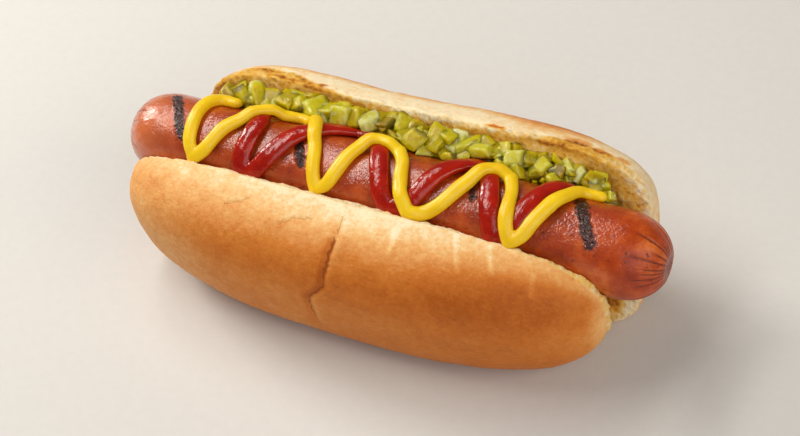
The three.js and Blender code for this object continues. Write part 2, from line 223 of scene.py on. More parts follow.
def capped_tube(rings):
    """Points and faces of a closed tube: neighbouring rings joined by quads, and a fan of
    triangles to the middle of each end ring. Rings turn right-handed about their travel."""
    stations, sides = rings.shape[:2]
    points = np.concatenate([rings.reshape(-1, 3), rings[[0, -1]].mean(axis=1)])
    index = np.arange(stations * sides).reshape(stations, sides)
    after = np.roll(index, -1, axis=1)
    quads = np.stack([index[:-1], after[:-1], after[1:], index[1:]], axis=-1).reshape(-1, 4)
    start, end = np.full(sides, stations * sides), np.full(sides, stations * sides + 1)
    fans = np.concatenate([
        np.stack([start, after[0], index[0]], axis=-1),
        np.stack([end, index[-1], after[-1]], axis=-1),
    ])
    return points, quads.tolist() + fans.tolist()


def joined(shells):
    """Several shells of points and faces as one."""
    starts = np.cumsum([0] + [len(points) for points, _ in shells])
    faces = [[corner + start for corner in face] for start, (_, some) in zip(starts, shells) for face in some]
    return np.concatenate([points for points, _ in shells]), faces


def mesh_of(name, points, faces):
    """A mesh in metres of points in millimetres."""
    mesh = bpy.data.meshes.new(name)
    mesh.from_pydata((points * MM).tolist(), [], faces)
    mesh.update()
    return mesh


def placed(name, data):
    """A new object in the scene."""
    thing = bpy.data.objects.new(name, data)
    bpy.context.scene.collection.objects.link(thing)
    return thing


def melted(shells, voxel, rounds):
    """Overlapping closed shells as one skin: a voxel remesh, then rounds of smoothing."""
    helper = placed("melting", mesh_of("melting", *joined(shells)))
    remesh = helper.modifiers.new("melt", "REMESH")
    remesh.mode = "VOXEL"
    remesh.voxel_size = voxel * MM
    smooth = helper.modifiers.new("smooth", "SMOOTH")
    smooth.iterations = rounds
    skin = helper.evaluated_get(bpy.context.evaluated_depsgraph_get()).to_mesh()
    points = np.empty(3 * len(skin.vertices))
    skin.vertices.foreach_get("co", points)
    corners = np.empty(len(skin.loops), int)
    skin.loops.foreach_get("vertex_index", corners)
    bpy.data.objects.remove(helper)
    return points.reshape(-1, 3) / MM, corners.reshape(-1, 4)


def vertex_normals(points, quads):
    """Unit normals: the sum over a vertex's quads of the product of their diagonals."""
    a, b, c, d = (points[quads[:, corner]] for corner in range(4))
    across = np.cross(c - a, d - b)
    normals = np.zeros_like(points)
    for corner in range(4):
        np.add.at(normals, quads[:, corner], across)
    return unit(normals)


def piece(name, slot, nodes, material, points, faces, attributes=()):
    """A finished piece that rides on the part and stands for some of its nodes."""
    mesh = mesh_of(name, points, faces)
    mesh.shade_smooth()
    for label, values in dict(attributes).items():
        mesh.attributes.new(label, "FLOAT", "POINT").data.foreach_set("value", values.astype(np.float32))
    mesh.materials.append(material)
    thing = placed(name, mesh)
    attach(thing, "root")
    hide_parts(*nodes)


# ---- Materials ----

def linear(hex_colour):
    """An sRGB hex colour as linear light."""
    parts = [int(hex_colour[i:i + 2], 16) / 255 for i in (1, 3, 5)]
    return (*[part / 12.92 if part <= 0.04045 else ((part + 0.055) / 1.055) ** 2.4 for part in parts], 1)


def add_node(tree, kind, *inputs, stops=(), **settings):
    """Adds a node of a kind, which may end with its operation or data type. Inputs fill its sockets
    in use, in order. Settings are its properties, or its sockets by name. What goes into a socket
    is a number, a hex colour, or a node or output that feeds it. Stops are the places and hex
    colours of a ramp."""
    kind, _, mode = kind.partition(" ")
    made = tree.nodes.new("ShaderNode" + kind)
    if mode:
        setattr(made, "data_type" if kind == "Mix" else "operation", mode)
    for name in [name for name in settings if hasattr(made, name)]:
        setattr(made, name, settings.pop(name))
    used = [socket for socket in made.inputs if socket.enabled]
    fed = list(zip(used, inputs))
    fed += [(made.inputs[name.replace("_", " ")], value) for name, value in settings.items()]
    for socket, value in fed:
        if isinstance(value, bpy.types.Node):
            value = next(output for output in value.outputs if output.enabled)
        if isinstance(value, bpy.types.NodeSocket):
            tree.links.new(value, socket)
        else:
            socket.default_value = linear(value) if isinstance(value, str) else value
    if stops:
        made.color_ramp.elements.remove(made.color_ramp.elements[1])
    for i, (place, colour) in enumerate(stops):
        stop = made.color_ramp.elements[0] if i == 0 else made.color_ramp.elements.new(place)
        stop.position = place
        stop.color = linear(colour)
    return made


def new_material(name, *labels):
    """An empty material, what adds a node to it, the place of each point in metres, and nodes that
    read the piece's attributes with these labels."""
    material = bpy.data.materials.new(name)
    material.use_nodes = True
    material.node_tree.nodes.clear()
    add = functools.partial(add_node, material.node_tree)
    read = [add("Attribute", attribute_name=label) for label in labels]
    return material, add, add("TexCoord").outputs["Object"], *read


def finished(material, add, **settings):
    """The material, with a Principled shader of these settings joined to its output."""
    add("OutputMaterial", Surface=add("BsdfPrincipled", **settings))
    return material


def per_mm(size):
    """The scale of a noise whose spots are a size in millimetres across."""
    return 1 / (size * MM)


def baked_bread():
    """Soft white bread, baked in a tin and split with a knife: a thin satin crust from cream to brown with
    fine flaky mottling, and an open crumb, toasted on the grill, whose pores scatter light. Where the crust
    has split, a thin ragged dark line is painted along the gap, painted shade in the narrow crack."""
    material, add, place, bake, toast, juice, is_crumb, split, width = new_material(
        "baked_bread", "bake", "toast", "juice", "crumb", "split", "split_width")
    patches = add("TexNoise", place, per_mm(9), Detail=2)
    mottle = add("TexNoise", place, per_mm(2.6), Detail=3, Roughness=0.6)
    grain = add("TexNoise", place, per_mm(0.8), Detail=3, Roughness=0.6)
    drawn_out = add("VectorMath MULTIPLY", place, (0.55, 1, 1))
    streaks = add("TexNoise", drawn_out, per_mm(1.0), Detail=4, Roughness=0.65)
    for noise, share in ((patches, 0.3), (mottle, 0.4), (grain, 0.3), (streaks, 0.3)):
        bake = add("Math MULTIPLY_ADD", noise, share, bake)
    bake = add("Math SUBTRACT", bake, 0.64)
    bake = add("Math DIVIDE", bake, 1.2)
    crust = add("ValToRGB", bake, stops=[
        (0.0, "#f4e2ba"), (0.14, "#eec587"), (0.3, "#e6a861"), (0.46, "#da9149"), (0.6, "#d07d2e"),
        (0.74, "#c76f20"), (0.86, "#bd6518"), (1.0, "#ad5606"),
    ])
    open_grain = add("TexNoise", place, per_mm(1.5), Detail=5, Roughness=0.68)
    cells = add("TexVoronoi", place, per_mm(1.5), Randomness=1)
    open_grain = add("Math MULTIPLY_ADD", cells, -0.5, open_grain)
    toast = add("Math MULTIPLY_ADD", open_grain, 0.7, toast)
    toast = add("Math SUBTRACT", toast, 0.17)
    crumb = add("ValToRGB", toast, stops=[
        (0.0, "#f8e8c4"), (0.22, "#f2cc80"), (0.45, "#e8b044"), (0.7, "#cc8828"), (1.0, "#7f3d15"),
    ])
    crumb = add("Mix RGBA", juice, crumb, "#bc8218")
    colour = add("Mix RGBA", is_crumb, crust, crumb)
    # Painted shade: a ragged dark brown line along the tear and the cracks, for the shade in their narrow
    # gap.
    jagged = add("TexNoise", place, per_mm(1.3), Detail=3)
    across = add("Math MULTIPLY_ADD", jagged, 2.6, split)
    across = add("Math SUBTRACT", across, 1.3)
    across = add("Math ABSOLUTE", across)
    gap = add("Math SUBTRACT", width, across)
    gap = add("Math MULTIPLY", gap, 2.4, use_clamp=True)
    colour = add("Mix RGBA", gap, colour, "#9a4a0a")
    flakes = add("Math MULTIPLY_ADD", grain, 0.35, mottle)
    flakes = add("Math MULTIPLY_ADD", streaks, 0.4, flakes)
    skin = add("Bump", Height=flakes, Distance=0.35 * MM)
    skin = add("Bump", Height=gap, Distance=0.2 * MM, Normal=skin, invert=True)
    pores = add("Bump", Height=open_grain, Distance=0.9 * MM, invert=True)
    normal = add("Mix VECTOR", is_crumb, skin, pores)
    roughness = add("Math MULTIPLY_ADD", is_crumb, 0.3, 0.58)
    return finished(
        material, add, Base_Color=colour, Roughness=roughness, Normal=normal, IOR=1.34,
        Subsurface_Weight=0.12, Subsurface_Scale=0.004, Subsurface_Radius=(1.0, 0.5, 0.25),
    )


def grilled_skin():
    """A smoked sausage in a thin casing, grilled: a tight greasy skin with fine wrinkles that
    break up its gloss, browner in patches, with black char that is cracked and blistered."""
    material, add, place, tip, crease, char, matt = new_material(
        "grilled_skin", "tip", "crease", "char", "matt")
    patches = add("TexNoise", place, per_mm(8), Detail=4, Roughness=0.6)
    flecks = add("TexNoise", place, per_mm(1.6), Detail=1)
    ripples = add("TexNoise", place, per_mm(0.65), Detail=2, Roughness=0.5)
    pebbles = add("TexVoronoi", place, per_mm(1.1), feature="SMOOTH_F1")
    wrinkles = add("Math MULTIPLY_ADD", pebbles, -0.5, ripples)
    skin = add("ValToRGB", patches, stops=[
        (0.3, "#8e2c08"), (0.46, "#a83c0c"), (0.58, "#bb4d14"), (0.72, "#d46c26"),
    ])
    flecks = add("Math SUBTRACT", flecks, 0.66)
    flecks = add("Math MULTIPLY", flecks, 9, use_clamp=True)
    soot = add("TexNoise", place, per_mm(0.9), Detail=2, Roughness=0.5)
    soot_colour = add("ValToRGB", soot, stops=[
        (0.36, "#100605"), (0.52, "#280f0b"), (0.68, "#642c22"),
    ])
    browned = add("Math MULTIPLY_ADD", soot, char, 0.4)
    browned = add("Math MULTIPLY", browned, char, use_clamp=True)
    # The tip tone is painted light at the left end and the skin's own tone at the right tip; the crease tone
    # is painted shade in the grooves.
    for share, tone in ((flecks, "#7a2610"), (tip, "#d27644"), (crease, "#641a0a"), (browned, "#6e2a20")):
        skin = add("Mix RGBA", share, skin, tone)
    burnt = add("Math MULTIPLY_ADD", soot, 1.8, char)
    burnt = add("Math SUBTRACT", burnt, 1.4)
    burnt = add("Math MULTIPLY", burnt, 2.8, use_clamp=True)
    colour = add("Mix RGBA", burnt, skin, soot_colour)
    blisters = add("Math MULTIPLY", soot, char)
    height = add("Math MULTIPLY_ADD", blisters, 4.5, wrinkles)
    normal = add("Bump", Height=height, Distance=0.17 * MM)
    coat = add("Math MULTIPLY_ADD", matt, -0.75, 1)
    coat = add("Math MULTIPLY_ADD", burnt, -0.45, coat, use_clamp=True)
    return finished(
        material, add, Base_Color=colour, Roughness=0.38, Normal=normal, IOR=1.4, Specular_IOR_Level=0.3,
        Subsurface_Weight=0.1, Subsurface_Scale=0.003, Subsurface_Radius=(1.0, 0.3, 0.15),
        Coat_Weight=coat, Coat_Roughness=0.12, Coat_IOR=1.6, Coat_Normal=normal,
    )


def squeezed_ketchup():
    """Tomato ketchup: a thick smooth purée, deep red, wet and glossy, with small ripples."""
    material, add, place = new_material("squeezed_ketchup")
    patches = add("TexNoise", place, per_mm(5), Detail=3)
    ripples = add("TexNoise", place, per_mm(1.5), Detail=3)
    colour = add("ValToRGB", patches, stops=[(0.3, "#8e0b00"), (0.7, "#ad1a00")])
    normal = add("Bump", Height=ripples, Distance=0.22 * MM)
    return finished(
        material, add, Base_Color=colour, Roughness=0.2, Normal=normal, IOR=1.38, Subsurface_Weight=0.2,
        Subsurface_Scale=0.002, Subsurface_Radius=(1.0, 0.12, 0.05), Coat_Weight=0.35, Coat_Roughness=0.04,
        Coat_Normal=normal,
    )


def squeezed_mustard():
    """Mild yellow mustard: a smooth opaque emulsion, turmeric yellow, between satin and gloss."""
    material, add, place = new_material("squeezed_mustard")
    patches = add("TexNoise", place, per_mm(6), Detail=3)
    ripples = add("TexNoise", place, per_mm(2.5), Detail=2)
    colour = add("ValToRGB", patches, stops=[(0.3, "#eabe0a"), (0.7, "#f2ce18")])
    normal = add("Bump", Height=ripples, Distance=0.08 * MM)
    return finished(
        material, add, Base_Color=colour, Roughness=0.36, Normal=normal, IOR=1.42, Subsurface_Weight=0.3,
        Subsurface_Scale=0.002, Subsurface_Radius=(1.0, 0.75, 0.1), Coat_Weight=0.12, Coat_Roughness=0.25,
    )


def pickled_cucumber():
    """Cucumber pickled in sweet brine and diced: wet, part see-through, cloudy flesh with dark green rind on
    some sides. Each die is painted a little paler along its edges, a painted highlight where light catches
    them."""
    material, add, place, tint, edge, rind = new_material("pickled_cucumber", "tint", "edge", "rind")
    veins = add("TexNoise", place, per_mm(1.5), Detail=4, Roughness=0.65)
    tint = add("Math MULTIPLY_ADD", veins, 0.8, tint)
    # Painted highlight: each die is a little paler along its edges, where light catches them.
    tint = add("Math MULTIPLY_ADD", edge, 0.12, tint)
    tint = add("Math SUBTRACT", tint, 0.36)
    flesh = add("ValToRGB", tint, stops=[
        (0.0, "#846800"), (0.25, "#ba9c00"), (0.5, "#d8c000"), (0.75, "#e0d42a"), (1.0, "#f2f2a4"),
    ])
    colour = add("Mix RGBA", rind, flesh, "#74660a")
    normal = add("Bump", Height=veins, Distance=0.4 * MM)
    return finished(
        material, add, Base_Color=colour, Roughness=0.12, Normal=normal, IOR=1.37, Specular_IOR_Level=0.25,
        Transmission_Weight=0.25, Subsurface_Weight=0.7, Subsurface_Scale=0.004,
        Subsurface_Radius=(1.0, 0.9, 0.12), Coat_Weight=0.45, Coat_Roughness=0.03, Coat_Normal=normal,
    )


def matt_board():
    """Board with matt off-white paint: rough, with a faint even tooth."""
    material, add, place = new_material("matt_board")
    tooth = add("TexNoise", place, per_mm(3), Detail=2)
    colour = add("Mix RGBA", tooth, "#d2d0cc", "#d8d6d2")
    return finished(material, add, Base_Color=colour, Roughness=0.9)



# ---- Sausage ----

# Grill marks: x and angle of the middle line, and the width.
GRILL_MARKS = [
    ([(-70.3, -24), (-67.4, -4), (-64.9, 14), (-61.9, 38)], 2.9),
    ([(-27.2, -4), (-25.9, 8), (-23, 34)], 2.4),
    ([(26.4, -2), (27.9, 12), (28.8, 20)], 1.6),
    ([(57.2, -17), (59.2, 0), (61.2, 18), (63.6, 38)], 3.5),
    ([(-60, 150), (-55, 200)], 3.0),
    ([(-17, 148), (-12, 198)], 3.0),
    ([(24, 152), (29, 203)], 2.8),
    ([(63, 150), (68, 196)], 3.0),
]
CHAR = Sizes(outside=0.8, inside=0.5, sunk=0.22, blistered=0.12)
# The gathered skin of a tip: its folds, and in radians round the dome where they start.
PUCKER = Sizes(
    seed=4, count=28, wander=0.35, depth=0.5, width=0.3, least_ring=1.5, start=0.12, spread=0.75, fade=0.35,
)
SEAM = radians(100)  # where the skin is cut to lay it flat, between the grill marks
POLE_SHARE = 0.01  # the last ring's share of the radius


def sausage_radius(x):
    """The radius of the barrel, which thins evenly from left to right."""
    share = x / SAUSAGE.length + 0.5
    return SAUSAGE.left_radius + (SAUSAGE.right_radius - SAUSAGE.left_radius) * share


def sausage_axis(x):
    """The middle of the sausage: a straight line whose ends hang lower by the sag."""
    sag = SAUSAGE.sag * (2 * x / SAUSAGE.length) ** 2
    return points_at(x, SAUSAGE.axis_y, SAUSAGE.axis_z - sag)


def sausage_outward(angle):
    """The way out of the sausage. The angle turns from the top towards the front."""
    return points_at(0, -np.sin(angle), np.cos(angle))


def beside_sausage(x, angle, lift):
    """A point near the sausage: the lift is its height over the skin."""
    return sausage_axis(x) + (sausage_radius(x) + lift)[..., None] * sausage_outward(angle)


def clear_of_sausage(points, gap):
    """Points that lie in the sausage or closer than the gap, pushed straight out of it."""
    axis = sausage_axis(points[:, 0])
    way = points - axis
    reach = np.linalg.norm(way, axis=1)
    needed = sausage_radius(points[:, 0]) + gap
    stretch = np.where(reach < needed, needed / np.maximum(reach, 1e-6), 1)
    return axis + way * stretch[:, None]


def pucker_grooves(turn, angle, seed):
    """How deep the gathered skin is folded at a tip: narrow grooves at random angles that start
    at different distances and all run into the pole."""
    rng = np.random.default_rng(seed)
    steps = np.arange(PUCKER.count) + PUCKER.wander * rng.normal(size=PUCKER.count)
    places = steps * 2 * np.pi / PUCKER.count
    starts = PUCKER.start + PUCKER.spread * rng.random(PUCKER.count)
    ring = SAUSAGE.right_radius * np.cos(turn)[:, None, None]
    apart = (angle[None, :, None] - places + np.pi) % (2 * np.pi) - np.pi
    groove = bump(apart * np.maximum(ring, PUCKER.least_ring), PUCKER.width)
    growth = eased(starts, starts + PUCKER.fade, turn[:, None])[:, None, :]
    return (groove * growth).max(-1)


def sausage_surface(sides=184, barrel=300, dome=44):
    """Rings from pole to pole. The domes are superellipses; the skin has low lumps, sunken grill
    marks with blistered edges, and narrow grooves that run into the tips."""
    straight = SAUSAGE.length / 2 - SAUSAGE.dome_length
    turns = np.linspace(0, np.pi / 2, dome + 1)[1:]
    turn = np.concatenate([-turns[::-1], np.zeros(barrel), turns])
    x = np.pad(np.linspace(-straight, straight, barrel), dome, "edge") + SAUSAGE.dome_length * np.sin(turn)
    roundness = np.maximum(np.cos(turn), POLE_SHARE) ** SAUSAGE.dome_power
    angle = full_turn(sides)
    ring = (sausage_radius(x) * roundness)[:, None, None] * sausage_outward(angle)
    flat = (sausage_axis(x)[:, None] + ring).reshape(-1, 3)
    depth = np.abs(turn)
    crease = sum(
        pucker_grooves(depth, angle, PUCKER.seed + tip) * (way * turn > 0)[:, None]
        for tip, way in enumerate((-1, 1))
    ).ravel()
    around = np.tile((angle + SEAM) % (2 * np.pi) - SEAM, len(x)) * SAUSAGE.right_radius
    unrolled = np.column_stack([flat[:, 0], around])
    rough = lumps(flat, 1.3, 11) * 0.6 + lumps(flat, 4, 12) * 0.4
    char = np.zeros(len(flat))
    for route, width in GRILL_MARKS:
        away = distance_to_path(unrolled, laid_flat(route, SAUSAGE.right_radius)) + rough
        char = np.maximum(char, eased(width / 2 + CHAR.outside, width / 2 - CHAR.inside, away))
    shift = 0.22 * lumps(flat, 16, 13) + 0.07 * lumps(flat, 5, 14) - PUCKER.depth * crease
    shift -= char * (CHAR.sunk + CHAR.blistered * lumps(flat, 1.2, 15))
    outward = np.tile(sausage_outward(angle), (len(x), 1))
    flat = flat + outward * (shift * np.repeat(roundness, sides))[:, None]
    dimple = np.sign(turn) * SAUSAGE.dimple_depth * eased(SAUSAGE.dimple_from, np.pi / 2, depth)
    flat[:, 0] -= np.repeat(dimple, sides)
    shell, faces = capped_tube(flat.reshape(len(x), sides, 3))
    # Painted light: the skin is paler orange towards the left end, where light falls from the front left; at
    # the right tip the same orange is the skin's own tone.
    tip = np.repeat(0.55 * eased(-58, -74, x) + 0.3 * eased(1, 1.4, turn), sides)
    tip = np.clip(tip * (0.9 + 0.3 * lumps(flat, 4, 16)), 0, 1)
    return shell, faces, {  # each ends with its values at the two poles
        "char": np.append(char, (0, 0)),
        # crease is painted shade along the grooves; tip is painted light at the left end and the skin's own
        # tone at the right tip.
        "crease": np.append(eased(0.15, 0.9, crease) * 0.85, (0, 0)),
        "tip": np.append(tip, (0.9, 0.4)),
        "matt": np.append(np.repeat(eased(62, 73, x), sides), (0, 1)),
    }


# ---- Bun ----

CRUST_ARC = 27  # millimetres of crust for each radian of its angle

# Darker toasted patches of the back cut face: x, height up the face, reach along x and up, share.
TOAST_PATCHES = [(-40, 57, 9, 1.1, 0.45), (-30, 55.4, 6, 0.8, 0.3), (41, 56, 5, 0.8, 0.3)]
# Scorched streaks on the rim of the back half: x, how far out, reach along x and out, share.
RIM_SCORCHES = [
    (-50, 4.5, 6, 2, 0.4), (-43.5, 1.4, 4, 0.8, 0.4), (-29.3, 1.8, 1.3, 0.8, 0.9),
    (25.8, 0.8, 2.8, 0.7, 1.1), (50, 4.3, 4.5, 1.6, 0.5), (56.5, 3.8, 3, 1.1, 0.6),
    (62.5, 4.5, 2.5, 1.5, 0.4),
]


def in_half(half, x, up, out):
    """A point of a half: up its cut face, and out from that face towards the crust."""
    y = half.side * (HINGE.face_offset + up * sin(half.lean) + out * cos(half.lean))
    z = up * cos(half.lean) - out * sin(half.lean)
    return points_at(x, HINGE.y + y, HINGE.z + z)


def from_half(half, points):
    """The way back: x, up and out of points."""
    across = half.side * (points[:, 1] - HINGE.y) - HINGE.face_offset
    rise = points[:, 2] - HINGE.z
    up = across * sin(half.lean) + rise * cos(half.lean)
    out = across * cos(half.lean) - rise * sin(half.lean)
    return points[:, 0], up, out


def section_of(half, x):
    """The half's cross-section at x: its reach to the rim and to the foot, its depth and its bow,
    after x itself as a share of half the length."""
    u = np.clip((x - half.middle_x) / (half.length / 2), -1, 1)
    dip = half.rim_dip * bump(x - RIM_DIP.middle_x, RIM_DIP.width)
    to_rim = half.height / 2 * squircle(u, half.rim_power) - dip * (1 - u ** 4)
    to_foot = half.height / 2 * squircle(u, half.foot_power)
    return u, to_rim, to_foot, half.thickness * squircle(u, half.thickness_power), half.bow * (1 - u * u)


def crust_angle(half, x, up, out):
    """The angle over the crust, 90 degrees at the rim and -90 at the foot, of a point near it."""
    _, to_rim, to_foot, depth, bow = section_of(half, x)
    rise = up - half.height / 2
    sine = signed_power(rise / np.maximum(np.where(rise > 0, to_rim, to_foot), 1), SECTION_POWER / 2)
    cosine = signed_power(np.maximum(out - bow, 0) / np.maximum(depth, 1), SECTION_POWER / 2)
    return np.degrees(np.arctan2(sine, cosine))


def bread_half(half, bands=260, crust_steps=110, face_steps=40):
    """One half, as rings from end to end. A ring goes over the crust along a superellipse from
    foot to rim, and straight back down the cut face."""
    x = half.middle_x + half.length / 2 * end_to_end(bands)[:, None]
    _, to_rim, to_foot, depth, bow = section_of(half, x)
    v = np.linspace(-np.pi / 2, np.pi / 2, crust_steps + 1)
    reach = np.where(v > 0, to_rim, to_foot)
    up = half.height / 2 + reach * signed_power(np.sin(v), 2 / SECTION_POWER)
    out = bow + depth * signed_power(np.maximum(np.cos(v), 0), 2 / SECTION_POWER)
    face_top = to_rim * (1 - 2 * half.lip / half.height)
    fall = np.linspace(0, 1, face_steps, endpoint=False)
    face_up = half.height / 2 + face_top + (-to_foot - face_top) * fall
    ups = np.concatenate([up, face_up], axis=1)
    outs = np.concatenate([out, np.zeros_like(face_up)], axis=1)
    rings = in_half(half, x, ups, outs)
    return capped_tube(rings[:, ::-1] if half.side < 0 else rings)


def bread_web(bands=160, sides=64):
    """The bread that still joins the halves: a long block, superelliptic in section and plan."""
    u = end_to_end(bands)[:, None]
    turn = full_turn(sides)
    across = WEB.half_width * signed_power(np.cos(turn), 2 / WEB.side_power)
    rise = WEB.half_height * squircle(u, WEB.end_power) * signed_power(np.sin(turn), 2 / WEB.side_power)
    return capped_tube(points_at(WEB.middle_x + WEB.length / 2 * u, HINGE.y + across, WEB.middle_z + rise))


def edge_distance(half, x, up):
    """How far a point of the cut face is from the face's outline: of the way up and the way along
    to the outline, the height of their right triangle."""
    u, to_rim, _, _, _ = section_of(half, x)
    rise = up - half.height / 2
    above = np.maximum(to_rim - rise, 0.01)
    widest = squircle(np.clip(2 * rise / half.height, -1, 1), half.rim_power)
    beside = np.maximum(half.length / 2 * (widest - np.abs(u)), 0.01)
    return above * beside / np.hypot(above, beside)


def split_across(x, angle):
    """How far points of the front crust are across the tear or the nearest finer crack, with a
    sign, and the half width of the gap there, in millimetres. The width is -1 where none is near."""
    places, degrees = np.array(TEAR_ROUTE[::-1]).T
    across = x - np.interp(angle, degrees, places)
    half_width = np.interp(angle, *np.array(TEAR_WIDTHS).T)
    half_width = np.where((np.abs(across) < TEAR.reach) & (angle > TEAR.lowest_angle), half_width, -1)
    for route in CRACK_ROUTES:
        places, degrees = np.array(sorted(route)).T
        above = (angle - np.interp(x, places, degrees)) * radians(CRUST_ARC)
        near = (np.abs(above) < CRACK.reach) & (x > places[0]) & (x < places[-1])
        across = np.where(near, above, across)
        half_width = np.where(near, CRACK.half_width, half_width)
    return across, half_width


def front_crust(x, angle):
    """How high the lips of the tear and the stretched lines stand on the front crust, and its marks. It is
    palest at the rim, darkest halfway down and paler at the foot and both ends; the paler left end is painted
    light, for light falling from the left. The tear is a groove with a raised lip on its right, painted paler
    as a painted highlight, and painted shade darkens the crust on its left."""
    lower = angle - 19 * eased(10, 60, x) * (1 - 0.4 * eased(62, 80, angle))
    bake = eased(92, 34, lower) ** 0.8 * (1 + 0.14 * bump(x - 44, 20))
    # Paler towards the foot; the paleness towards the left end is painted light, for light falling from the
    # left.
    bake *= (1 - 0.22 * eased(38, 8, angle)) * (1 - 0.55 * eased(-30, -76, x)) * (1 - 0.1 * eased(5, -20, x))
    bake += 0.26 * eased(-42, -74, x) * eased(44, 72, angle)
    bake *= (1 - 0.15 * eased(58, 66, x)) * (1 - 0.55 * eased(66, 70, x))
    bake += 0.14 * eased(-60, -74, x) * eased(36, 10, angle)
    bake += (0.1 * bump(x + 46, 12) + 0.2 * eased(50, 62, x)) * eased(80, 88, angle)
    split, half_width = split_across(x, angle)
    torn = eased(-8, 0, angle) * eased(90, 72, angle) * np.clip(half_width / TEAR.usual_width, 0, 1)
    relief = torn * (0.3 * bump(split - 1.7, 1.1) - 0.5 * bump(split + 0.1, 0.8))
    # Painted shade left of the tear's groove and a painted highlight on its raised right lip.
    bake += torn * (0.3 * bump(split + 1, 1.2) - 0.2 * bump(split - 1.5, 0.9))
    flat = np.column_stack([x, np.radians(angle) * CRUST_ARC])
    stretched = [distance_to_path(flat, laid_flat(route, CRUST_ARC)) for route in STRETCH_ROUTES]
    stretched = np.min(stretched, axis=0)
    relief += 0.14 * bump(stretched, 0.6)
    bake -= 0.24 * bump(stretched, 0.7)
    toast = 0.1 + 0.15 * eased(30, 60, x)
    return relief, {"bake": bake, "toast": toast, "split": split, "split_width": half_width}


def back_toast(points, x, up, out, angle, crumb):
    """The marks of the back half, whose cut face shows. The crumb is toasted inside a pale band along the
    rim, with darker patches, and scorched in streaks on the rim. The crust is pale at its right end, and
    juice from the relish soaks into the crumb round the heap. Low near the right end the crumb is painted
    darker, painted shade in the slit between the halves."""
    z = points[:, 2]
    bake = eased(80, 45, angle - 11 * bump(x - 38, 15)) * (1 - 0.6 * eased(52, 68, x))
    bake += 0.1 * eased(-40, -60, x)
    bake += (0.06 - bake) * eased(46, 64, x) * eased(-15, 60, angle)
    rim = edge_distance(BACK_HALF, x, up)
    band = -0.5 + 2.4 * bump(x - 8, 30) + 3.2 * eased(58, 67, x) + 0.7 * lumps(points, 9, 31)
    inside = eased(band - 0.7, band + 0.9, rim - 0.8 * np.maximum(out, 0))
    at_rim = eased(-20, -36, x) * eased(7, 4, out) + 0.9 * bump(x - 54, 14) * eased(5, 2, out)
    toast = 0.06 + 0.32 * np.maximum(inside, at_rim) + 0.05 * bump(rim - band - 1.2, 1.4) * (out < 0.5)
    for px, height, along, above, share in TOAST_PATCHES:
        spot = np.hypot((x - px) / along, (up - height) / above) + 0.5 * lumps(points, 3, 32)
        toast = toast + share * eased(1.3, 0.5, spot)
    for px, deep, along, across, share in RIM_SCORCHES:
        spot = np.hypot((x - px) / along, (out - deep) / across) + 0.4 * lumps(points, 2, 36)
        scorch = share * eased(1.3, 0.4, spot) * eased(48, 51, up)
        toast = toast + scorch
        bake = bake + scorch
    toast += 0.12 * lumps(points, 6, 33) + 0.25 * bump(x - 46, 9) * eased(2.5, 0.8, rim)
    golden = eased(50, 57, x) * eased(6, 3, out) * eased(1, 4, rim)
    toast += golden * (0.36 - 0.8 * np.clip(toast, 0, 0.5))
    toast *= 1 - 0.5 * eased(32, 22, z)
    # Painted shade: a darker band low on the crumb near the right end, where the slit between the halves lies
    # in shade.
    toast += 0.6 * eased(68.5, 66, x) * eased(55, 62, x) * bump(z - 9.5, 3)
    heap = np.hypot(up - RELISH.face_height + 3, 0.4 * out) + lumps(points, 4, 34)
    soaked = eased(10.5 + 3 * eased(44, 56, x), 6, heap) * crumb * eased(67, 60, np.abs(x))
    return {"bake": bake, "toast": toast, "juice": 0.7 * soaked}


